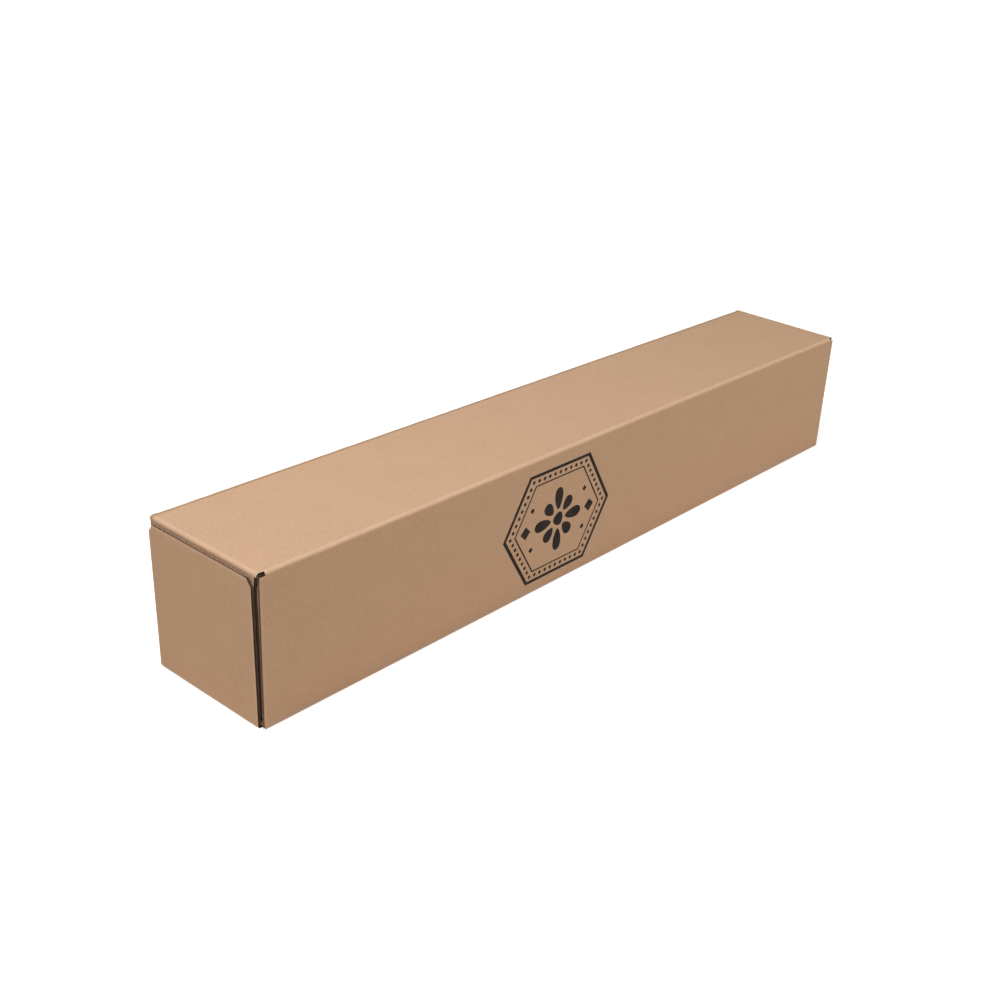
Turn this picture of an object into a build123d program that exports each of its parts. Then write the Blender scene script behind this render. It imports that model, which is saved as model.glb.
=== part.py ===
from build123d import *
import os
from math import sqrt

# Long mailing box, folded from one die-cut blank of corrugated board.
# A base, a front wall, a back wall and a lid wrap round the contents. A fifth panel, the
# front flap, hangs from the lid's front edge and covers the front wall. Each end is closed
# by an outer flap from the base, then the lid's own tab, then two dust flaps.
# X runs along the box and +Y to the back. Sizes are millimetres. The origin is the middle
# of the underside.

# Size over the closed box
box_length = 500.0
box_width = 80.0
box_height = 82.0

# Board: two flat liners with a wavy sheet between them
board = 1.7
liner = 0.25
flute_pitch = 3.4
flute_crest = 0.4
flute_foot = 2.5
flute_depth = 9.0

# Folds are nearly sharp inside, and crushed to a tight round outside
fold_radius = 1.2
crease_radius = 0.3
layer_gap = 0.3
crease_neck = 1.5

# Outer end flaps, hinged on the base
flap_front_inset = 3.0
flap_back_inset = 2.0
flap_top_drop = 3.2
flap_corner_across = 2.8
flap_corner_down = 3.6

# Lid tabs, folded down behind the outer end flaps
tab_front_inset = 2.6
tab_back_inset = 1.2
tab_foot_gap = 4.0
tab_corner = 6.0

# Dust flaps, folded in from the front and back walls
dust_gap = 8.0
dust_foot_gap = 3.3
dust_top_drop = 8.0
dust_taper = 4.0

# Front flap, and the slits that part its ends from the lid's tabs
front_flap_inset = 0.4
front_flap_foot = 0.5
slit_length = 2.8
slit_height = 2.0
slit_set_back = 0.5

# Where the layers lie, from the outside inwards
fold_reach = board + crease_radius
end_x = box_length / 2
front_y = -box_width / 2
back_y = box_width / 2
tab_x = end_x - board - layer_gap
wall_x = tab_x - board - layer_gap
wall_front_y = front_y + board + layer_gap
wall_end_x = wall_x - fold_reach - crease_neck
front_wall_top = box_height - board - layer_gap
slit_x = tab_x - slit_length
flap_front_y = front_y + flap_front_inset
flap_back_y = back_y - flap_back_inset
flap_top = box_height - flap_top_drop
dust_reach = (back_y - wall_front_y - dust_gap) / 2

# A fold that works as a hinge is parted along its mitre, from the crushed inside corner to
# the middle of the rounded outside, and turns about that outside line.
hinge_inset = fold_radius * (1 - 1 / sqrt(2))
mitre_reach = 2 * fold_reach


def area(left, right, low, high):
    """A rectangle given by its four sides."""
    return Pos((left + right) / 2, (low + high) / 2) * Rectangle(right - left, high - low)


def board_ring(left, right, low, high):
    """Section of board folded round four corners."""
    centre = Pos((left + right) / 2, (low + high) / 2)
    outside = RectangleRounded(right - left, high - low, fold_radius)
    inside = RectangleRounded(right - left - 2 * board, high - low - 2 * board, crease_radius)
    return centre * (outside - inside)


def between_mitres(left, right, face, inward):
    """The part of a section that belongs to one face, bounded by the mitres of its folds."""
    outer = face - inward * mitre_reach
    inner = face + inward * mitre_reach
    corners = [
        (left - mitre_reach, outer),
        (right + mitre_reach, outer),
        (right - mitre_reach, inner),
        (left + mitre_reach, inner),
    ]
    return make_face(Polyline(*corners, close=True))


def along_x(section, half_length):
    """A section across the box, drawn out both ways along it."""
    return extrude(Plane.YZ * section, amount=half_length, both=True)


def along_y(section, start, end):
    """A section along the box, drawn out from start to end across it."""
    return extrude(Plane.XZ.offset(-end) * section, amount=end - start)


def along_z(section, start, end):
    """A plan section, drawn out from start to end in height."""
    return extrude(Plane.XY.offset(start) * section, amount=end - start)


def flutes(middle, along, inward, width):
    """Openings of the wavy sheet at a raw edge, cut in to flute_depth behind it."""
    core = board / 2 - liner
    wide = flute_foot / 2
    narrow = flute_crest / 2
    cell = make_face(
        Polyline((-wide, core), (wide, core), (narrow, -core), (-narrow, -core), close=True)
    )
    turned = Rot(0, 0, 180) * cell
    count = int((width - flute_foot) / flute_pitch)
    first = -flute_pitch * count / 2
    crests = [Pos(first + i * flute_pitch, 0) * cell for i in range(count + 1)]
    troughs = [Pos(first + (i + 0.5) * flute_pitch, 0) * turned for i in range(count)]
    edge = Plane(origin=middle, x_dir=along, z_dir=inward)
    return [extrude(edge * opening, amount=flute_depth) for opening in crests + troughs]


def make_tray():
    """Base, front wall, back wall and the four dust flaps, folded as one piece."""
    # The back wall ends in its half of the lid's fold, and the front wall stops short of it.
    shell = board_ring(wall_front_y, back_y, 0, box_height)
    shell -= between_mitres(0, back_y, box_height, -1)
    shell -= area(front_y, mitre_reach, front_wall_top, box_height + board)
    tray = along_x(shell, wall_end_x)

    # The walls turn in at the ends as dust flaps, which taper towards their free edges.
    front_edge = wall_front_y + dust_reach
    back_edge = back_y - dust_reach
    low = dust_foot_gap
    high = box_height - dust_top_drop
    plan = board_ring(-wall_x, wall_x, wall_front_y, back_y)
    plan -= area(-end_x, end_x, front_edge, back_edge)
    outline = [
        (wall_front_y, low),
        (front_edge, low + dust_taper),
        (back_edge, low + dust_taper),
        (back_y, low),
        (back_y, high),
        (back_edge, high - dust_taper),
        (front_edge, high - dust_taper),
        (wall_front_y, high),
    ]
    side = make_face(Polyline(*outline, close=True))
    tray += along_z(plan, low, high) & along_x(side, end_x)

    # The base runs on past the walls to its folds with the outer end flaps.
    base = board_ring(-end_x, end_x, 0, box_height) & between_mitres(-end_x, end_x, 0, 1)
    tray += along_y(base, flap_front_y, flap_back_y)

    openings = []
    edge_height = high - low - 2 * dust_taper
    for end in (-1, 1):
        x = end * (wall_x - board / 2)
        middle = (low + high) / 2
        openings += flutes((x, front_edge, middle), (0, 0, 1), (0, -1, 0), edge_height)
        openings += flutes((x, back_edge, middle), (0, 0, 1), (0, 1, 0), edge_height)
    return tray - openings


def make_lid():
    """Top panel with a tab folded down at each end."""
    # The long edges hold the lid's halves of its folds with the back wall and front flap.
    across = board_ring(front_y, back_y, 0, box_height)
    across &= between_mitres(front_y, back_y, box_height, -1)
    lid = along_x(across, slit_x)

    # The ends fold down as tabs. Beside them the panel's corners stand free.
    along = board_ring(-tab_x, tab_x, 0, box_height)
    along -= area(-slit_x, slit_x, 0, box_height)
    corners = along & area(-end_x, end_x, box_height - board, box_height)
    lid += along_y(corners, front_y + slit_set_back, back_y - slit_set_back)
    tab_front = front_y + tab_front_inset
    tab_back = back_y - tab_back_inset
    hanging = along - area(-end_x, end_x, 0, tab_foot_gap)
    lid += along_y(hanging, tab_front, tab_back)

    # The tabs' lower corners are cut off, so that they slip in behind the outer flaps.
    for y, inward in ((tab_front, 1), (tab_back, -1)):
        foot = [
            (y - inward * board, tab_foot_gap - board),
            (y + inward * (tab_corner + board), tab_foot_gap - board),
            (y - inward * board, tab_foot_gap + tab_corner + board),
        ]
        lid -= along_x(make_face(Polyline(*foot, close=True)), end_x)

    openings = []
    middle = (tab_front + tab_back) / 2
    edge_width = tab_back - tab_front - 2 * tab_corner
    for end in (-1, 1):
        corner = (end * (tab_x - board / 2), middle, tab_foot_gap)
        openings += flutes(corner, (0, 1, 0), (0, 0, 1), edge_width)
    return lid - openings


def make_front_flap():
    """Fifth panel, hung from the lid's front edge down over the front wall."""
    across = board_ring(front_y, back_y, 0, box_height)
    across &= area(front_y, front_y + board, front_flap_foot, box_height)
    across -= between_mitres(front_y, back_y, box_height, -1)
    half_length = tab_x - front_flap_inset
    flap = along_x(across, half_length)

    # A slit at each end of the fold frees the flap from the lid's corner.
    slit_low = box_height - slit_height
    for end in (-1, 1):
        left, right = sorted((end * slit_x, end * (end_x + board)))
        slit = area(left, right, slit_low, box_height + board)
        flap -= along_y(slit, front_y - board, front_y + mitre_reach)

    openings = []
    middle_y = front_y + board / 2
    middle_z = (front_flap_foot + slit_low) / 2
    for end in (-1, 1):
        edge = (end * half_length, middle_y, middle_z)
        openings += flutes(edge, (0, 0, 1), (-end, 0, 0), slit_low - front_flap_foot)
    return flap - openings


def make_end_flap(end):
    """Outer end flap, hinged on the base, with its two free corners cut off."""
    along = board_ring(-end_x, end_x, 0, box_height)
    left, right = sorted((end * (end_x - board), end * end_x))
    along &= area(left, right, 0, flap_top)
    along -= between_mitres(-end_x, end_x, 0, 1)
    flap = along_y(along, flap_front_y, flap_back_y)
    for y, inward in ((flap_front_y, 1), (flap_back_y, -1)):
        corner = [
            (y, flap_top),
            (y + inward * flap_corner_across, flap_top),
            (y, flap_top - flap_corner_down),
        ]
        flap -= along_x(make_face(Polyline(*corner, close=True)), end_x)

    middle = (flap_front_y + flap_back_y) / 2
    edge = (end * (end_x - board / 2), middle, flap_top)
    edge_width = flap_back_y - flap_front_y - 2 * flap_corner_across
    return flap - flutes(edge, (0, 1, 0), (0, 0, -1), edge_width)


pieces = {
    "tray": make_tray(),
    "lid": make_lid(),
    "front_flap": make_front_flap(),
    "left_end_flap": make_end_flap(-1),
    "right_end_flap": make_end_flap(1),
}

os.makedirs("parts", exist_ok=True)
for name, piece in pieces.items():
    export_step(piece, f"parts/{name}.step")

# A point on each line that a flap or the lid turns about
hinge_points = {
    "lid": (0, back_y - hinge_inset, box_height - hinge_inset),
    "front_flap": (0, front_y + hinge_inset, box_height - hinge_inset),
    "left_end_flap": (-end_x + hinge_inset, 0, hinge_inset),
    "right_end_flap": (end_x - hinge_inset, 0, hinge_inset),
}
for name, point in hinge_points.items():
    print(name, "turns about", [round(value, 4) for value in point])
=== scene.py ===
import math

import bmesh
import bpy
from mathutils import Matrix, Vector, noise
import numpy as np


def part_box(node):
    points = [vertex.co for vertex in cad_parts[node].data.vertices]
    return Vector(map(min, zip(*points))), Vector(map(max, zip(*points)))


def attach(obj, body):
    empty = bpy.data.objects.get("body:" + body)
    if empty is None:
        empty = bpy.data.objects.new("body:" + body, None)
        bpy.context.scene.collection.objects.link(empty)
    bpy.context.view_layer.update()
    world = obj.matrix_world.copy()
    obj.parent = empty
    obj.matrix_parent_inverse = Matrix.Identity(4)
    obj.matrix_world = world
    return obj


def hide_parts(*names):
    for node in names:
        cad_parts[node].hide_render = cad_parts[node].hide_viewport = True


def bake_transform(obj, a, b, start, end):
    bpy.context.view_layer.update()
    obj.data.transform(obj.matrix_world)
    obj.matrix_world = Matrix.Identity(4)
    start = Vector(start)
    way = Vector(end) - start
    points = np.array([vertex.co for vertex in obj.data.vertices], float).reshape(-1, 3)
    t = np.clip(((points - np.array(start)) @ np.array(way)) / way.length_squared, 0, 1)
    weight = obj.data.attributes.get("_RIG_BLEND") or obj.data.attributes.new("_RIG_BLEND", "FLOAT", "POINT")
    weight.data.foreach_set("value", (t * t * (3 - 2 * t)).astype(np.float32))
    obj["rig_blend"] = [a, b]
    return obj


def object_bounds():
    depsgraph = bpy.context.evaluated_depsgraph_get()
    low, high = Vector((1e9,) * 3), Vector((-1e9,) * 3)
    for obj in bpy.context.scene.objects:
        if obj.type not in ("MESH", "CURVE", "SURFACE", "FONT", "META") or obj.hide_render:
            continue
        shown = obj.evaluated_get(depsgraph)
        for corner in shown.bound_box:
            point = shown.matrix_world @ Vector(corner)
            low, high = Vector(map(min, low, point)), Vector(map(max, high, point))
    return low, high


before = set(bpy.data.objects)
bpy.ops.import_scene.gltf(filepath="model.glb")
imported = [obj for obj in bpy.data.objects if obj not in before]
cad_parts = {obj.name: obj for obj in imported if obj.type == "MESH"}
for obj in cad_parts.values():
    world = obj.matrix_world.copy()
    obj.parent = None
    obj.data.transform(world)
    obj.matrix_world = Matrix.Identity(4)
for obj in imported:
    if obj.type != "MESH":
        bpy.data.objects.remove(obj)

cad_low, cad_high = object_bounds()

# Long mailing box of folded corrugated board. Each board is drawn as it is made: an outer
# and an inner liner with a wavy sheet between them, laid out on the flat blank and then
# folded. Lengths are millimetres until a mesh is written, and MM brings them to metres.
# On the blank, u runs along the flutes and v across them, and depth goes in from the
# outer face.
MM = 0.001


def corners(node):
    """Lowest and highest corner of a solid, in millimetres."""
    low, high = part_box(node)
    return low / MM, high / MM


end_flap_low, end_flap_high = corners("left_end_flap")
lid_low, lid_high = corners("lid")
front_flap_low, front_flap_high = corners("front_flap")
tray_low, _ = corners("tray")

# Board. Its outer face is drawn skin deep inside the solid's.
board = end_flap_high.x - end_flap_low.x
liner = 0.25
medium = 0.2
flute_pitch = 3.4
layer_gap = 0.3
skin = 0.02

# A fold takes up fold_reach of each face, rounded to fold_radius outside and tight inside
fold_radius = 1.6
crease_radius = 0.3
fold_reach = board + crease_radius
fold_length = 2 * (fold_reach - fold_radius) + fold_radius * math.pi / 2

# Faces of the closed box and of the layers in it. The dust flaps lie as far behind the
# lid's tab as the tab lies behind the outer end flap.
end_x = cad_high.x / MM
top_z = cad_high.z / MM
front_y = cad_low.y / MM
back_y = cad_high.y / MM
wall_y = tray_low.y
tab_x = lid_high.x
wall_x = tab_x - (end_x - tab_x)

# Slits, free edges and cut corners, with the small faults of cutting that the photo shows
slit_length = 4.2
slit_height = 2.0
slit_x = tab_x - slit_length
wall_end_x = 242.5
corner_front_inset = 1.3
corner_back_inset = 0.5
front_flap_x = front_flap_high.x
front_flap_foot = front_flap_low.z
front_flap_skew = 0.65
wall_top_z = top_z - board - layer_gap
tab_front_inset = 2.6
tab_back_inset = 1.2
tab_front_y = front_y + tab_front_inset
tab_back_y = back_y - tab_back_inset
tab_lean = 0.9
tab_lean_slope = 0.15
tab_corner = 6.0
flap_corner_across = 2.8
flap_corner_down = 3.6
dust_reach = 35.0
dust_low_z = 3.3
dust_high_z = 74.0
dust_taper = 4.0

# Each liner is a strip of its own over a hinged fold, reaching crease to both sides of its
# middle. The outermost crease_hold of a strip stays with the board that it joins.
crease_margin = 1.4
crease = fold_length / 2 + crease_margin
crease_hold = 0.3

# Straight runs of the wrapped blank, from the front flap's foot to the front wall's top,
# and where each starts on the blank
runs = (
    top_z - fold_reach - front_flap_foot,
    back_y - front_y - 2 * fold_reach,
    top_z - 2 * fold_reach,
    back_y - wall_y - 2 * fold_reach,
    wall_top_z - fold_reach,
)
starts = [sum(runs[:i]) + i * fold_length for i in range(len(runs))]
folds = [start - fold_length / 2 for start in starts[1:]]
front_fold, lid_fold, back_base_fold, front_base_fold = folds
blank_width = starts[-1] + runs[-1]


def round_fold(share, depth):
    """Place in a fold at a share of its length: on along the first face, and in from it."""
    radius = fold_radius + (crease_radius - fold_radius) * depth / board
    lead = fold_reach - depth - radius
    arc = radius * math.pi / 2
    gone = share * (2 * lead + arc)
    if gone < lead:
        return gone, depth
    if gone > lead + arc:
        return fold_reach - depth, depth + radius + gone - lead - arc
    turn = (gone - lead) / radius
    return lead + radius * math.sin(turn), depth + radius * (1 - math.cos(turn))


def on_wrap(v, depth):
    """Place across the box of a point at v on the wrapped blank, depth in from its outside."""
    point = Vector((front_y, front_flap_foot))
    heading = Vector((0, 1))
    for number, run in enumerate(runs):
        inward = Vector((heading.y, -heading.x))
        if v <= run or number == len(runs) - 1:
            return point + heading * v + inward * depth
        v -= run
        point += heading * run
        if v < fold_length:
            along, across = round_fold(v / fold_length, depth)
            return point + heading * along + inward * across
        v -= fold_length
        point += (heading + inward) * fold_reach
        heading = inward


def round_end(u, depth, fold_x):
    """Place along the box, and distance in from a panel's outside, where it folds at fold_x."""
    side = math.copysign(1, u)
    first = fold_x - fold_reach
    past = abs(u) - first
    if past <= 0:
        return u, depth
    if past < fold_length:
        along, inward = round_fold(past / fold_length, depth)
        return side * (first + along), inward
    return side * (fold_x - depth), fold_reach + past - fold_length


def wrapped(u, v, depth):
    """A point of a panel that only folds round the box."""
    y, z = on_wrap(v, depth)
    return Vector((u, y, z))


def front_flap_place(u, v, depth):
    """A point of the front flap, whose left end isn't cut quite square."""
    if u < 0:
        u -= front_flap_skew * (1 - 2 * v / starts[1]) * u / front_flap_low.x
    return wrapped(u, v, depth)


def wrapped_walls(u, v, depth):
    """A point of the walls and base, whose walls turn in at the ends as dust flaps."""
    x, inward = round_end(u, depth, wall_x)
    y, z = on_wrap(v, inward)
    return Vector((x, y, z))


def lid_end(u, v, depth):
    """A point of the lid's end or tab, straight across the box."""
    x, inward = round_end(u, depth, tab_x)
    return Vector((x, front_y + fold_reach + v - starts[1], top_z - inward))


def base_end(u, v, depth):
    """A point of the base's end or of an outer end flap, straight across the box."""
    x, inward = round_end(u, depth, end_x)
    return Vector((x, back_y - fold_reach - v + starts[3], inward))


def lid_v(y):
    """Place on the blank of a line along the lid."""
    return starts[1] + y - front_y - fold_reach


def base_v(y):
    """Place on the blank of a line along the base."""
    return starts[3] + back_y - fold_reach - y


def past_fold(fold_x, reach):
    """Place on the blank of a line that lies reach in from a folded end's panel."""
    return fold_x - fold_reach + fold_length + reach - fold_reach


# Distances between the lines that a board is drawn with. Places within tiny are the same.
tiny = 1e-6
step_along = 3.0
step_across = 3.8
tray_step_along = 4.0
end_step = 2.0
lid_end_step_along = 3.0
lid_end_step_across = 2.5
strip_step_along = 2.5
strip_step_round = 0.7
hidden_step = 24.0
wave_steps = 10
bend_steps = 4
rim_step = 0.5
crushed_steps = (0.4, 1.0)


def divide(stops, step):
    """The stops, with even points between them no further apart than step."""
    stops = sorted(set(stops))
    points = [stops[0]]
    for low, high in zip(stops, stops[1:]):
        count = max(1, math.ceil((high - low) / step - tiny))
        points += [low + (high - low) * k / count for k in range(1, count + 1)]
    return points


def mirrored(stops):
    """The stops and their mirror images about the middle of the box."""
    return [side * stop for stop in stops for side in (-1, 1)]


# Layers of the board, in the order of their materials. The materials of cuts across the flutes
# and along them come after these; the one along them is painted dark, as shade in the narrow cuts.
layers = ("outer", "inner", "medium")

# Wear of the raw edges, which are crushed, and of the folds, which are pinched and nicked.
# The noise over the blank runs at these shares of a millimetre along and across it.
crush_depth = 0.1
crush_width = 1.5
pinch_depth = 0.2
pinch_width = 2.2
pinch_noise = (0.16, 0.05)
pinch_seed = 3.7
nick_depth = 0.3
nick_noise = (0.31, 0.02)
nick_seed = 8.1
nick_level = 0.35

# How far the wavy sheet draws back from a cut that runs along the flutes
groove = 2.0


def fade(distance, width):
    """One at no distance, falling smoothly to nothing at width."""
    share = max(0.0, 1 - distance / width)
    return share * share * (3 - 2 * share)


def pinch(u, v, fold):
    """How far a fold's surface is pushed in, uneven along it."""
    ripple_at = Vector((u * pinch_noise[0], v * pinch_noise[1], pinch_seed))
    ripple = 0.5 + 0.5 * noise.noise(ripple_at)
    nick_at = Vector((u * nick_noise[0], nick_seed, v * nick_noise[1]))
    nick = max(0.0, noise.noise(nick_at) - nick_level)
    return fade(fold, pinch_width) * (pinch_depth * ripple * ripple + nick_depth * nick)


class Sheet:
    """One board over part of the blank. Its limits are where it is cut: v from, v to, u to."""

    def __init__(self, place, us, vs, kept, limits, end_fold=None):
        self.place = place
        self.us = us
        self.vs = vs
        self.kept = kept
        self.limits = limits
        self.end_fold = end_fold

    def trimmed(self, u, v, inset):
        """v held between the cuts at u, inset from them."""
        low, high, _ = self.limits(u, v)
        return min(max(v, low + inset), high - inset)

    def edge_distance(self, u, v):
        """Distance on the blank to the nearest cut."""
        low, high, end = self.limits(u, v)
        return max(0.0, min(v - low, high - v, end - abs(u)))

    def fold_distance(self, u, v):
        """Distance on the blank to the nearest fold."""
        found = [abs(v - fold) for fold in folds]
        if self.end_fold is not None:
            found.append(abs(abs(u) - self.end_fold))
        return min(found)

    def depth(self, u, v, share):
        """Depth of a face of the board, from 0 outside to 1 inside, with its wear."""
        fold = self.fold_distance(u, v)
        crush = crush_depth * fade(self.edge_distance(u, v), crush_width)
        outer = skin + crush + pinch(u, v, fold)
        inner = board - crush
        return outer + (inner - outer) * share

    def faces(self, u, v, layer):
        """Depths of the two faces of a layer at a place on the blank."""
        thin = liner / board
        if layer == "outer":
            return self.depth(u, v, 0), self.depth(u, v, thin)
        if layer == "inner":
            return self.depth(u, v, 1 - thin), self.depth(u, v, 1)
        half = medium / board / 2
        swing = 0.5 - thin - half
        middle = 0.5 + swing * math.sin(2 * math.pi * v / flute_pitch)
        return self.depth(u, v, middle - half), self.depth(u, v, middle + half)

    def build(self, mesh, layer):
        """Adds a layer to the mesh: two faces, and a rim wherever the blank is cut."""
        inset = groove if layer == "medium" else 0.0
        blank = mesh.verts.layers.float_vector["blank"]
        fold_layer = mesh.verts.layers.float["fold"]
        edge_layer = mesh.verts.layers.float["edge"]
        made = {}

        def corner(i, j, face):
            if (i, j, face) not in made:
                u = self.us[i]
                v = self.trimmed(u, self.vs[j], inset)
                depth = self.faces(u, v, layer)[face]
                vertex = mesh.verts.new(self.place(u, v, depth) * MM)
                vertex[blank] = Vector((u, v, depth))
                vertex[fold_layer] = self.fold_distance(u, v)
                vertex[edge_layer] = self.edge_distance(u, v)
                made[i, j, face] = vertex
            return made[i, j, face]

        def drawn(u, v):
            """Whether there is board at a place, and the wavy sheet isn't drawn back there."""
            low, high, _ = self.limits(u, v)
            return self.kept(u, v) and (inset == 0 or low + inset < v < high - inset)

        middles_u = [(a + b) / 2 for a, b in zip(self.us, self.us[1:])]
        middles_v = [(a + b) / 2 for a, b in zip(self.vs, self.vs[1:])]
        cells = {
            (i, j)
            for i, u in enumerate(middles_u)
            for j, v in enumerate(middles_v)
            if drawn(u, v)
        }
        # A liner's hidden side takes the wavy sheet's dark material, a painted shade that darkens the
        # hollows between the flutes.
        finish = layers.index(layer)
        hidden = layers.index("medium")
        outward = hidden if layer == "inner" else finish
        inward = hidden if layer == "outer" else finish
        for i, j in sorted(cells):
            ring = [(i, j), (i + 1, j), (i + 1, j + 1), (i, j + 1)]
            beyond = [(i, j - 1), (i + 1, j), (i, j + 1), (i - 1, j)]
            quads = [
                ([(*at, 0) for at in ring], outward),
                ([(*at, 1) for at in reversed(ring)], inward),
            ]
            for side, neighbour in enumerate(beyond):
                if neighbour not in cells:
                    a, b = ring[side], ring[(side + 1) % 4]
                    # Cuts along the flutes take the material painted dark as shade.
                    along_flutes = side % 2 == 0
                    rim = [(*b, 0), (*a, 0), (*a, 1), (*b, 1)]
                    quads.append((rim, len(layers) + along_flutes))
            for quad, material in quads:
                mesh.faces.new([corner(*at) for at in quad]).material_index = material


# Corners of a mesh nearer than this, in metres, are one. Edges that turn further are sharp.
merge_distance = 1e-7
sharp_angle = math.radians(38)


def new_object(mesh, name, materials):
    """An object in the scene with the mesh and its materials."""
    data = bpy.data.meshes.new(name)
    mesh.to_mesh(data)
    mesh.free()
    for material in materials:
        data.materials.append(material)
    made = bpy.data.objects.new(name, data)
    bpy.context.scene.collection.objects.link(made)
    return made


def finish_mesh(mesh, name, materials):
    """Turns the built sheets into an object with clean, outward faces."""
    bmesh.ops.remove_doubles(mesh, verts=mesh.verts, dist=merge_distance)
    bmesh.ops.dissolve_degenerate(mesh, edges=mesh.edges, dist=merge_distance)
    bmesh.ops.recalc_face_normals(mesh, faces=mesh.faces)
    for face in mesh.faces:
        face.smooth = True
    piece = new_object(mesh, name, materials)
    piece.data.set_sharp_from_angle(angle=sharp_angle)
    return piece


def new_mesh():
    """An empty mesh with the values that the materials read."""
    mesh = bmesh.new()
    mesh.verts.layers.float_vector.new("blank")
    mesh.verts.layers.float.new("fold")
    mesh.verts.layers.float.new("edge")
    return mesh


# Places on the blank that bound its panels, flaps and folds
dust_end = past_fold(wall_x, dust_reach)
wall_fold_start = wall_x - fold_reach
tab_fold_start = tab_x - fold_reach
tab_fold_end = tab_fold_start + fold_length
tab_foot = past_fold(tab_x, top_z - lid_low.z)
end_fold_start = end_x - fold_reach
end_fold = end_fold_start + fold_length / 2
flap_top = past_fold(end_x, end_flap_high.z)
flap_front_v = base_v(end_flap_low.y)
flap_back_v = base_v(end_flap_high.y)
end_stops = [
    wall_end_x,
    slit_x,
    wall_fold_start,
    wall_fold_start + fold_length,
    dust_end,
    tab_fold_start,
    tab_fold_end,
    tab_foot,
    tab_foot - tab_corner,
    end_fold - crease,
    end_fold + crease,
    flap_top,
    flap_top - flap_corner_down,
    front_flap_x,
]


def coarse(us):
    """Fewer stops along the flutes, where the wavy sheet is hidden."""
    kept = [us[0]]
    for u in us[1:-1]:
        at_end_stop = min(abs(abs(u) - stop) for stop in end_stops) < tiny
        if at_end_stop or u - kept[-1] > hidden_step:
            kept.append(u)
    return kept + [us[-1]]


def board_piece(name, sheets, materials):
    """A board of both liners and the wavy sheet between them, drawn on lines of its own."""
    mesh = new_mesh()
    for sheet in sheets:
        sheet.build(mesh, "outer")
        sheet.build(mesh, "inner")
        sheet.vs = divide(sheet.vs, flute_pitch / wave_steps)
        sheet.us = coarse(sheet.us)
        sheet.build(mesh, "medium")
    return finish_mesh(mesh, name, materials)


def arc_stops(middle):
    """Stops at both ends of a fold and round its bend."""
    half_bend = fold_radius * math.pi / 4
    first = middle - fold_length / 2
    steps = range(-bend_steps, bend_steps + 1)
    round_bend = [middle + half_bend * k / bend_steps for k in steps]
    return [first, first + fold_length] + round_bend


def uncut(u, v):
    """Limits of a board that is cut nowhere."""
    return -math.inf, math.inf, math.inf


def everywhere(u, v):
    """Keeps the whole of a sheet."""
    return True


def front_flap_sheet():
    """Fifth panel, down the front from the lid's fold."""
    high = front_fold - crease
    slit_v = starts[1] - fold_length + fold_reach - slit_height
    along = [0, slit_x, front_flap_x] + [front_flap_x - step for step in crushed_steps]
    us = divide(mirrored(along), step_along)
    vs = divide([0, *crushed_steps, high, slit_v], step_across)

    def kept(u, v):
        return v < high or (abs(u) > slit_x and v < slit_v)

    def limits(u, v):
        return 0.0, slit_v if abs(u) >= slit_x else math.inf, front_flap_x

    return Sheet(front_flap_place, us, vs, kept, limits)


def lid_sheets():
    """Top panel, and its two ends with their tabs."""
    low, high = front_fold + crease, lid_fold - crease
    us = divide(mirrored([0, wall_end_x, slit_x]), step_along)
    back_stops = [v for v in arc_stops(lid_fold) if v < lid_fold + tiny]
    vs = divide([low, high] + back_stops, step_across)

    def kept(u, v):
        return v < high or (abs(u) > wall_end_x and v < lid_fold)

    sheets = [Sheet(wrapped, us, vs, kept, uncut)]
    front_v, back_v = lid_v(front_y + corner_front_inset), lid_v(back_y - corner_back_inset)
    tab_front_v, tab_back_v = lid_v(tab_front_y), lid_v(tab_back_y)
    tab_fold = tab_fold_start + fold_length / 2
    stops = [slit_x, tab_foot, tab_foot - tab_corner, tab_foot - rim_step]
    us = divide(stops + arc_stops(tab_fold), lid_end_step_along)
    vs = divide([front_v, back_v, tab_front_v, tab_back_v], lid_end_step_across)

    def kept_end(u, v):
        return abs(u) < tab_fold_end or tab_front_v < v < tab_back_v

    def limits(u, v):
        if abs(u) < tab_fold_end + tiny:
            beside = v < tab_front_v - tiny or v > tab_back_v + tiny
            return front_v, back_v, tab_fold_end if beside else tab_foot
        cut = max(0.0, abs(u) - tab_foot + tab_corner)
        lean = min(tab_lean, (abs(u) - tab_fold_end) * tab_lean_slope)
        return tab_front_v + lean + cut, tab_back_v - cut, tab_foot

    for side in (-1, 1):
        lines = sorted(side * u for u in us)
        sheets.append(Sheet(lid_end, lines, vs, kept_end, limits, tab_fold))
    return sheets


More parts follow.
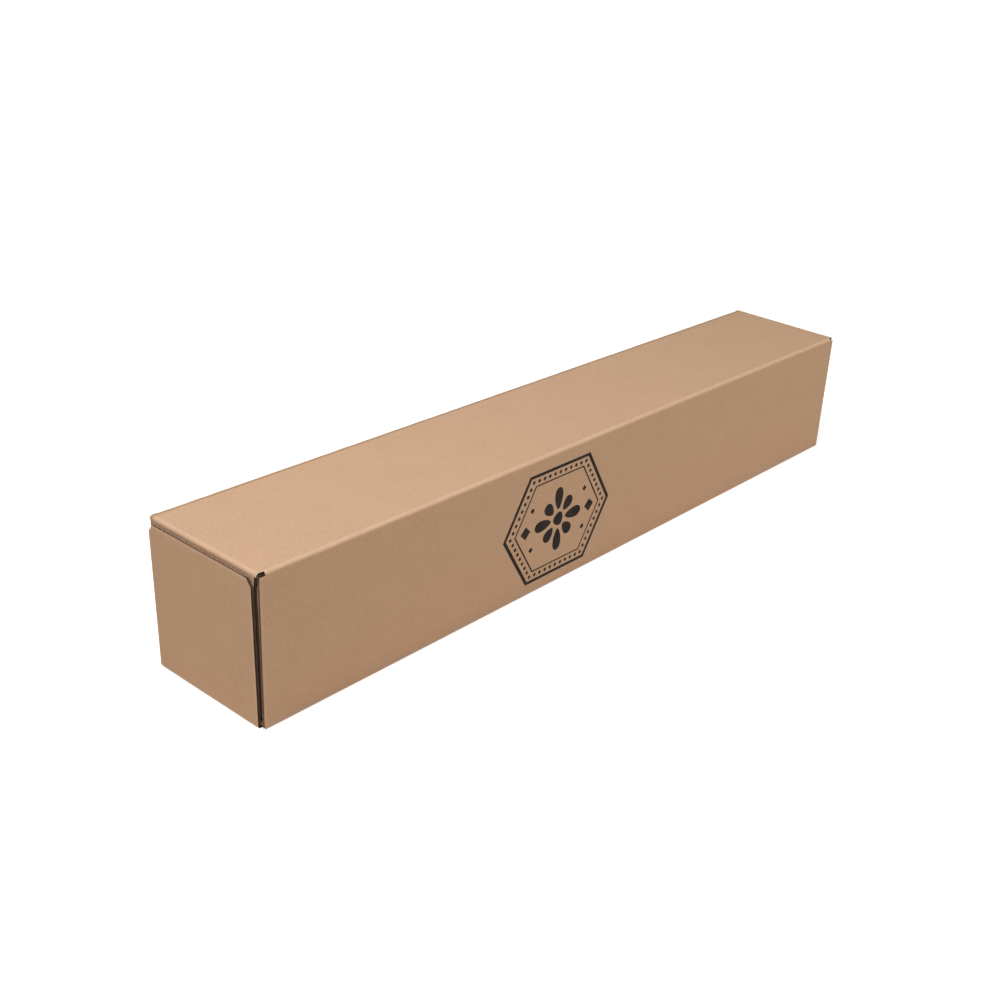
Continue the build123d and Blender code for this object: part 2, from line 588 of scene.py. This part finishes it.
def tray_sheets():
    """Back wall, base and front wall with their dust flaps, and the base's two ends."""
    low = lid_fold + crease
    wall_fold = wall_fold_start + fold_length / 2
    stops = [0, wall_end_x, dust_end, dust_end - rim_step] + arc_stops(wall_fold)
    us = divide(mirrored(stops), tray_step_along)
    back_start = starts[2] + top_z - fold_reach
    front_start = starts[4] - fold_reach
    dust_ranges = (
        (back_start - dust_high_z, back_start - dust_low_z),
        (front_start + dust_low_z, front_start + dust_high_z),
    )
    stops = [low, blank_width, blank_width - rim_step, *dust_ranges[0], *dust_ranges[1]]
    stops += arc_stops(back_base_fold) + arc_stops(front_base_fold)
    vs = divide(stops, step_across)

    def dust_range(v):
        for first, last in dust_ranges:
            if first - tiny < v < last + tiny:
                return first, last
        return None

    def kept(u, v):
        return abs(u) < wall_end_x or dust_range(v) is not None

    def limits(u, v):
        found = dust_range(v)
        if abs(u) < wall_end_x + tiny or found is None:
            return -math.inf, blank_width, dust_end if found else wall_end_x
        past = max(0.0, abs(u) - wall_fold_start - fold_length)
        cut = dust_taper * past / (dust_end - wall_fold_start - fold_length)
        return found[0] + cut, found[1] - cut, dust_end

    sheets = [Sheet(wrapped_walls, us, vs, kept, limits, wall_fold)]
    us = divide([wall_end_x, end_fold - crease], end_step)
    vs = divide([flap_front_v, flap_back_v], step_across)
    for side in (-1, 1):
        lines = sorted(side * u for u in us)
        sheets.append(Sheet(base_end, lines, vs, everywhere, base_end_limits))
    return sheets


def base_end_limits(u, v):
    """Limits of the base's end, which runs on into the outer end flap."""
    return flap_back_v, flap_front_v, math.inf


def end_flap_sheet(side):
    """Outer end flap, up from the base's fold, with its two free corners cut off."""
    cut_start = flap_top - flap_corner_down
    stops = [end_fold + crease, flap_top, cut_start] + [flap_top - step for step in crushed_steps]
    us = divide(stops, end_step)
    lines = sorted(side * u for u in us)
    insets = [0, *crushed_steps, flap_corner_across]
    stops = [flap_back_v + inset for inset in insets]
    stops += [flap_front_v - inset for inset in insets]
    vs = divide(stops, end_step)

    def limits(u, v):
        cut = max(0.0, (abs(u) - cut_start) * flap_corner_across / flap_corner_down)
        return flap_back_v + cut, flap_front_v - cut, flap_top

    return Sheet(base_end, lines, vs, everywhere, limits)


def fold_strip(name, layer, sheet, body_a, body_b, start, end):
    """Adds the strip of one liner that bends with a hinged fold, between two boards."""
    mesh = new_mesh()
    sheet.build(mesh, layer)
    strip = finish_mesh(mesh, name, papers)
    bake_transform(strip, body_a, body_b, start=start * MM, end=end * MM)


def node(tree, kind, values=None, **settings):
    """Adds a shader node, sets its properties, and fills or links its inputs."""
    made = tree.nodes.new("ShaderNode" + kind)
    for key, value in settings.items():
        setattr(made, key, value)
    for key, value in (values or {}).items():
        if isinstance(value, bpy.types.NodeSocket):
            tree.links.new(value, made.inputs[key])
        else:
            made.inputs[key].default_value = value
    return made


def math_node(tree, operation, *values):
    """A maths node's result."""
    return node(tree, "Math", dict(enumerate(values)), operation=operation).outputs[0]


def ramp(tree, value, low, high, to_low=0.0, to_high=1.0):
    """A value carried smoothly from one range to another."""
    values = {0: value, 1: low, 2: high, 3: to_low, 4: to_high}
    return node(tree, "MapRange", values, interpolation_type="SMOOTHSTEP").outputs[0]


def noise_node(tree, vector, scale, detail, roughness, stretch=(1, 1, 1)):
    """Noise over the blank, in features of about 1 / scale millimetres."""
    placed = node(tree, "Mapping", {0: vector, 3: stretch}).outputs[0]
    values = {"Vector": placed, "Scale": scale, "Detail": detail, "Roughness": roughness}
    return node(tree, "TexNoise", values).outputs[0]


def mix_colour(tree, share, a, b):
    """Two colours mixed, with a share of the second."""
    return node(tree, "Mix", {0: share, 6: a, 7: b}, data_type="RGBA").outputs[2]


def new_material(name):
    """A material with no nodes yet."""
    material = bpy.data.materials.new(name)
    material.use_nodes = True
    material.node_tree.nodes.clear()
    return material


def surface(tree, tone, roughness, specular, bump):
    """Links a shader of these values to the material's output."""
    values = {
        "Base Color": tone,
        "Roughness": roughness,
        "Specular IOR Level": specular,
        "Normal": bump.outputs[0],
    }
    shader = node(tree, "BsdfPrincipled", values)
    node(tree, "OutputMaterial", {0: shader.outputs[0]})


# The worn line of a fold, made lighter also as a painted highlight, the painted shade line beside the lid's
# fold where the fold turns away from the light, and the worn strip along a raw edge, made lighter also as a
# painted highlight:
# each is at full strength up to the first distance and gone at the second
fold_line = (1.15, 1.6)
fold_spread = (0.8, 3.2)
back_fold_shade_place = lid_fold - 1.7
back_fold_shade_line = (0.7, 1.7)
edge_strip = (0.3, 1.5)


def paper(name, base, light, dark, worn_and_highlight, wear_and_highlight, roughness):
    """Kraft paper: mottled pulp, fibres and flecks, paler at folds and edges with rubbed wear and painted
    highlight, and a painted shade line beside the lid's fold.
    """
    material = new_material(name)
    tree = material.node_tree
    blank = node(tree, "Attribute", attribute_name="blank").outputs["Vector"]
    fold = node(tree, "Attribute", attribute_name="fold").outputs["Fac"]
    edge = node(tree, "Attribute", attribute_name="edge").outputs["Fac"]

    clouds = noise_node(tree, blank, 0.05, 3.0, 0.55)
    pulp = noise_node(tree, blank, 0.6, 4.0, 0.7, (1.0, 0.6, 1.0))
    fibres = noise_node(tree, blank, 2.2, 3.0, 0.65, (0.3, 1.5, 1.0))
    cross_fibres = noise_node(tree, blank, 2.0, 3.0, 0.65, (1.5, 0.26, 1.0))
    tone = mix_colour(tree, ramp(tree, clouds, 0.3, 0.7, 0.0, 0.35), base, light)
    tone = mix_colour(tree, ramp(tree, pulp, 0.3, 0.7, 0.0, 0.75), tone, light)
    tone = mix_colour(tree, ramp(tree, fibres, 0.5, 0.8, 0.0, 0.5), tone, dark)
    tone = mix_colour(tree, ramp(tree, cross_fibres, 0.52, 0.8, 0.0, 0.4), tone, worn_and_highlight)

    flecks = node(tree, "TexVoronoi", {"Vector": blank, "Scale": 0.45}, feature="F1")
    speck = ramp(tree, flecks.outputs["Distance"], 0.05, 0.12, 0.45, 0.0)
    tone = mix_colour(tree, speck, tone, dark)

    rub_and_highlight_noise = noise_node(tree, blank, 0.35, 3.0, 0.6, (1.0, 0.4, 1.0))
    # Folds and raw edges go towards the worn colour: partly rubbed wear, partly a painted highlight where
    # the rounded folds and crushed edges catch the light.
    fold_line_wear_and_highlight = ramp(tree, fold, *fold_line, 0.6 * wear_and_highlight, 0.0)
    fold_spread_wear_and_highlight = ramp(tree, fold, *fold_spread, 0.15 * wear_and_highlight, 0.0)
    fold_wear_and_highlight = math_node(tree, "ADD", fold_line_wear_and_highlight, fold_spread_wear_and_highlight)
    fold_wear_and_highlight = math_node(tree, "MULTIPLY", fold_wear_and_highlight, ramp(tree, rub_and_highlight_noise, 0.3, 0.6, 0.7, 1.0))
    edge_wear_and_highlight = ramp(tree, edge, *edge_strip, 0.5 * wear_and_highlight, 0.0)
    edge_wear_and_highlight = math_node(tree, "MULTIPLY", edge_wear_and_highlight, ramp(tree, rub_and_highlight_noise, 0.25, 0.6, 0.5, 1.0))
    tone = mix_colour(tree, math_node(tree, "MAXIMUM", fold_wear_and_highlight, edge_wear_and_highlight), tone, worn_and_highlight)

    # Painted shade: a darker line on the top just before the lid's back fold, where the fold turns away from
    # the light.
    across = node(tree, "SeparateXYZ", {0: blank}).outputs["Y"]
    from_back_fold_shade = math_node(tree, "ABSOLUTE", math_node(tree, "SUBTRACT", across, back_fold_shade_place))
    tone = mix_colour(tree, ramp(tree, from_back_fold_shade, *back_fold_shade_line, 0.65, 0.0), tone, dark)
    turn = math_node(tree, "MULTIPLY", across, 2 * math.pi / flute_pitch)
    ribs = math_node(tree, "MULTIPLY", math_node(tree, "SINE", turn), 0.05)
    height = math_node(tree, "MULTIPLY_ADD", fibres, 0.6, pulp)
    height = math_node(tree, "ADD", height, ribs)
    bump = node(tree, "Bump", {"Height": height, "Distance": 0.00004, "Strength": 0.8})
    matt = ramp(tree, pulp, 0.3, 0.7, roughness - 0.06, roughness + 0.06)
    surface(tree, tone, matt, 0.22, bump)
    return material


def stamp_ink():
    """Black ink, thin in places, where specks of the kraft paper show through."""
    material = new_material("stamp_ink")
    tree = material.node_tree
    place = node(tree, "NewGeometry").outputs["Position"]
    spread = node(tree, "Mapping", {0: place, 3: (1 / MM, 1 / MM, 1 / MM)}).outputs[0]
    fine = noise_node(tree, spread, 1.1, 3.0, 0.7)
    broad = noise_node(tree, spread, 0.12, 2.0, 0.5)
    black = (0.010, 0.008, 0.008, 1)
    thin = (0.026, 0.020, 0.018, 1)
    kraft = (0.26, 0.165, 0.105, 1)
    tone = mix_colour(tree, ramp(tree, broad, 0.3, 0.7), black, thin)
    tone = mix_colour(tree, ramp(tree, fine, 0.6, 0.75, 0.0, 0.4), tone, kraft)
    bump = node(tree, "Bump", {"Height": fine, "Distance": 0.00003, "Strength": 0.6})
    surface(tree, tone, ramp(tree, fine, 0.3, 0.7, 0.65, 0.85), 0.1, bump)
    return material


# The layers' materials, then those of cuts across the flutes and along them. Each has its
# base, light, dark and worn colours, how far wear shows, and its roughness. The worn colour is also the
# painted highlight on folds and edges.
papers = [
    paper(
        "kraft_outer",
        (0.525, 0.333, 0.209, 1),
        (0.600, 0.387, 0.246, 1),
        (0.340, 0.205, 0.122, 1),
        (0.720, 0.495, 0.338, 1),
        0.62,
        0.84,
    ),
    paper(
        "kraft_inner",
        (0.470, 0.298, 0.186, 1),
        (0.510, 0.328, 0.208, 1),
        (0.300, 0.180, 0.108, 1),
        (0.580, 0.390, 0.260, 1),
        0.35,
        0.88,
    ),
    # Wavy sheet: a darker board, and darker still as painted shade in the hollows between the liners.
    paper(
        "fluting_shaded",
        (0.190, 0.124, 0.083, 1),
        (0.235, 0.154, 0.104, 1),
        (0.100, 0.065, 0.044, 1),
        (0.260, 0.174, 0.118, 1),
        0.1,
        0.9,
    ),
    paper(
        "cut_across",
        (0.390, 0.258, 0.174, 1),
        (0.440, 0.292, 0.196, 1),
        (0.140, 0.094, 0.066, 1),
        (0.500, 0.340, 0.234, 1),
        0.2,
        0.92,
    ),
    # Cut along the flutes: painted dark, as shade in the narrow cuts and behind the liners.
    paper(
        "cut_along_shaded",
        (0.100, 0.070, 0.051, 1),
        (0.135, 0.094, 0.068, 1),
        (0.055, 0.038, 0.028, 1),
        (0.160, 0.111, 0.079, 1),
        0.15,
        0.92,
    ),
]

boards = {
    "tray": tray_sheets(),
    "lid": lid_sheets(),
    "front_flap": [front_flap_sheet()],
    "left_end_flap": [end_flap_sheet(-1)],
    "right_end_flap": [end_flap_sheet(1)],
}
for body, sheets in boards.items():
    piece = board_piece(f"{body}_board", sheets, papers)
    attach(piece, body)
    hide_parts(body)


def hinge_strips():
    """Both liners round each hinged fold, bending with the lid or flap."""
    faces = {"outer": liner / 2, "inner": board - liner / 2}
    hold = crease - crease_hold
    hinges = (
        ("front_flap_fold", front_fold, slit_x, "front_flap", "lid"),
        ("lid_fold", lid_fold, wall_end_x, "lid", "tray"),
    )
    for name, fold, half, body_a, body_b in hinges:
        us = divide(mirrored([0, half]), strip_step_along)
        vs = divide(arc_stops(fold) + [fold - crease, fold + crease], strip_step_round)
        for layer, depth in faces.items():
            sheet = Sheet(wrapped, us, vs, everywhere, uncut)
            start = wrapped(0, fold - hold, depth)
            # The front wall stands close under the lid, so the inner liner bends before it.
            held = layer == "inner" and body_b == "lid"
            end = wrapped(0, fold if held else fold + hold, depth)
            fold_strip(f"{name}_{layer}_liner", layer, sheet, body_a, body_b, start, end)
    for side, body in ((-1, "left_end_flap"), (1, "right_end_flap")):
        stops = arc_stops(end_fold) + [end_fold - crease, end_fold + crease]
        lines = sorted(side * u for u in divide(stops, strip_step_round))
        stops = [flap_back_v, flap_front_v, flap_back_v + rim_step, flap_front_v - rim_step]
        vs = divide(stops, strip_step_along)
        for layer, depth in faces.items():
            sheet = Sheet(base_end, lines, vs, everywhere, base_end_limits, end_fold)
            start = base_end(side * (end_fold - hold), starts[3], depth)
            end = base_end(side * (end_fold + hold), starts[3], depth)
            fold_strip(f"{body}_fold_{layer}_liner", layer, sheet, "tray", body, start, end)


hinge_strips()

# Ink mark on the front flap: a flower in a beaded hexagon. Lengths are from its middle.
mark_x = -44.0
mark_z = 40.0
mark_half_width = 45.0
mark_half_height = 33.0
shoulder_share = 0.56
hole_share = 0.01
ink_face = 0.008
ink_back = 0.06

# The frame's two rings, each from an outer to an inner share of its size, and its beads
rings = ((1.0, 0.945), (0.80, 0.775))
bead_share = 0.872
bead_spacing = 4.2
bead_size = 1.35

# The flower: petals of two lengths, and a blot at its heart
petal_count = 8
petal_points = 20
petal_swell = 0.3
petal_start = 6.0
petal_ends = (19.5, 15.5)
petal_half_width = 3.3
heart_size = 4.0

# Lozenges at both sides of the flower: one large and two small
lozenge_size = 4.0
lozenge_x = 27.0
speck_size = 1.8
speck_x = 22.0
speck_z = 12.0


def ring_band(mesh, outer, inner):
    """Closed flat plate of ink between an outline and a smaller one inside it."""
    loops = []
    section = ((outer, ink_face), (inner, ink_face), (inner, ink_back), (outer, ink_back))
    for outline, depth in section:
        places = [Vector((mark_x + x, front_y + depth, mark_z + z)) * MM for x, z in outline]
        loops.append([mesh.verts.new(place) for place in places])
    for this, following in zip(loops, loops[1:] + loops[:1]):
        for k, vertex in enumerate(this):
            after = (k + 1) % len(this)
            mesh.faces.new((vertex, this[after], following[after], following[k]))


def hexagon(share):
    """Corners of the frame's outline, which points to both sides, at a share of its size."""
    tip = mark_half_width * share
    shoulder = tip * shoulder_share
    high = mark_half_height * share
    foot = [(-tip, 0), (-shoulder, -high), (shoulder, -high)]
    return foot + [(-x, -z) for x, z in foot]


def lozenge(size, x, z):
    """Corners of a lozenge, each at size from its middle."""
    return [(x - size, z), (x, z - size), (x + size, z), (x, z + size)]


def petal(angle, start, end, half_width):
    """Outline of a petal that points away from the middle, wider towards its end."""
    outline = []
    for k in range(petal_points):
        turn = 2 * math.pi * k / petal_points
        along = (start + end) / 2 + (end - start) / 2 * math.cos(turn)
        across = half_width * math.sin(turn) * (1 + petal_swell * math.cos(turn))
        outline.append((
            along * math.cos(angle) - across * math.sin(angle),
            along * math.sin(angle) + across * math.cos(angle),
        ))
    return outline


def ink_mark():
    """The mark, as thin plates of ink that lie on the front flap's outer liner."""
    mesh = bmesh.new()

    def blot(outline):
        """A filled plate: a band whose hole is too small to see."""
        middle_x = sum(x for x, _ in outline) / len(outline)
        middle_z = sum(z for _, z in outline) / len(outline)
        inner = [
            (middle_x + (x - middle_x) * hole_share, middle_z + (z - middle_z) * hole_share)
            for x, z in outline
        ]
        ring_band(mesh, outline, inner)

    for outer, inner in rings:
        ring_band(mesh, hexagon(outer), hexagon(inner))
    beads = hexagon(bead_share)
    for (x, z), (next_x, next_z) in zip(beads, beads[1:] + beads[:1]):
        count = round(math.hypot(next_x - x, next_z - z) / bead_spacing)
        for k in range(count):
            share = k / count
            blot(lozenge(bead_size, x + (next_x - x) * share, z + (next_z - z) * share))
    for k in range(petal_count):
        angle = 2 * math.pi * k / petal_count
        blot(petal(angle, petal_start, petal_ends[k % 2], petal_half_width))
    blot(petal(0, -heart_size, heart_size, heart_size))
    for side in (-1, 1):
        blot(lozenge(lozenge_size, side * lozenge_x, 0.0))
        for z in (-speck_z, speck_z):
            blot(lozenge(speck_size, side * speck_x, z))
    bmesh.ops.recalc_face_normals(mesh, faces=mesh.faces)
    piece = new_object(mesh, "front_flap_mark", [stamp_ink()])
    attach(piece, "front_flap")


ink_mark()

# Camera, at the photograph's viewing angle. It stands camera_offset from the box's near
# bottom corner, to the picture's right, up and ahead. The focal length and the place of the
# optical centre are in pixels of the picture.
camera_azimuth = math.radians(52.54)
camera_elevation = math.radians(27.50)
camera_roll = math.radians(4.40)
camera_offset = Vector((149.15, 85.51, -611.02)) * MM
focal_pixels = 1326.7
centre_column = 586.1
centre_row = 546.7
image_pixels = 1000
sensor_width = 36.0


def add_camera():
    """The photograph's camera."""
    ahead = Vector((
        math.sin(camera_azimuth) * math.cos(camera_elevation),
        math.cos(camera_azimuth) * math.cos(camera_elevation),
        -math.sin(camera_elevation),
    ))
    level = ahead.cross(Vector((0, 0, 1))).normalized()
    upright = level.cross(ahead)
    across = math.cos(camera_roll) * level + math.sin(camera_roll) * upright
    up = math.cos(camera_roll) * upright - math.sin(camera_roll) * level
    place = cad_low + across * camera_offset.x + up * camera_offset.y + ahead * camera_offset.z
    data = bpy.data.cameras.new("camera")
    data.sensor_width = sensor_width
    data.lens = data.sensor_width * focal_pixels / image_pixels
    data.shift_x = 0.5 - centre_column / image_pixels
    data.shift_y = centre_row / image_pixels - 0.5
    data.clip_start = 0.01
    data.clip_end = 50.0
    camera = bpy.data.objects.new("camera", data)
    turn = Matrix((across, up, -ahead)).transposed()
    camera.matrix_world = Matrix.Translation(place) @ turn.to_4x4()
    bpy.context.scene.collection.objects.link(camera)
    bpy.context.scene.camera = camera


def seen_by_camera(tree):
    """One for rays that show the surroundings: from the camera, and in gloss and glass."""
    rays = node(tree, "LightPath").outputs
    seen = math_node(tree, "MAXIMUM", rays["Is Camera Ray"], rays["Is Glossy Ray"])
    return math_node(tree, "MAXIMUM", seen, rays["Is Transmission Ray"])


def add_floor():
    """Pale floor that shows white to the camera and keeps the object's shadow."""
    material = new_material("floor")
    tree = material.node_tree
    matt = node(tree, "BsdfDiffuse", {"Color": floor_colour})
    place = node(tree, "NewGeometry").outputs["Position"]
    away = node(tree, "VectorMath", {0: place}, operation="LENGTH").outputs["Value"]
    lift = ramp(tree, away, *lift_reach, *floor_lift)
    lift = math_node(tree, "MULTIPLY", seen_by_camera(tree), lift)
    glow = node(tree, "Emission", {"Strength": lift})
    both = node(tree, "AddShader", {0: matt.outputs[0], 1: glow.outputs[0]})
    node(tree, "OutputMaterial", {0: both.outputs[0]})
    mesh = bmesh.new()
    bmesh.ops.create_grid(mesh, x_segments=8, y_segments=8, size=floor_half)
    floor = new_object(mesh, "floor", [material])
    floor.location.z = -floor_drop


def add_world():
    """Even soft daylight, white where the camera sees past the floor."""
    world = bpy.data.worlds.new("world")
    bpy.context.scene.world = world
    world.use_nodes = True
    tree = world.node_tree
    tree.nodes.clear()
    ambient = node(tree, "Background", {"Color": daylight, "Strength": daylight_strength})
    white = node(tree, "Background", {"Color": (1, 1, 1, 1), "Strength": 1.0})
    shares = {0: seen_by_camera(tree), 1: ambient.outputs[0], 2: white.outputs[0]}
    both = node(tree, "MixShader", shares)
    node(tree, "OutputWorld", {0: both.outputs[0]})


def add_softbox(name, place, size, watts, colour):
    """A large square lamp aimed at the box."""
    data = bpy.data.lights.new(name, "AREA")
    data.size = size
    data.energy = watts
    data.color = colour
    lamp = bpy.data.objects.new(name, data)
    lamp.visible_camera = False
    lamp.location = place
    lamp.rotation_mode = "QUATERNION"
    aim = lamp_aim - lamp.location
    lamp.rotation_quaternion = aim.to_track_quat("-Z", "Y")
    bpy.context.scene.collection.objects.link(lamp)


# Floor, whose glow to the camera rises from near the box outwards. Lengths are metres.
floor_half = 12.0
floor_drop = 0.0002
floor_colour = (0.70, 0.635, 0.565, 1)
floor_lift = (0.80, 1.0)
lift_reach = (0.5, 1.4)

# Light: even daylight, a key lamp overhead, and a weaker one from the front. Each lamp has
# its place and size in metres, its watts and its colour.
daylight = (1.0, 0.985, 0.965, 1)
daylight_strength = 0.05
lamp_aim = Vector((-0.05, 0.0, 0.05))
softboxes = (
    ("key", (-0.6, -0.1, 1.3), 0.8, 20.2, (1.0, 1.0, 1.0)),
    ("front", (0.55, -0.95, 0.25), 0.7, 4.6, (1.0, 0.99, 0.98)),
)

add_camera()
add_floor()
add_world()
for softbox in softboxes:
    add_softbox(*softbox)

scene = bpy.context.scene
scene.view_settings.view_transform = "Standard"
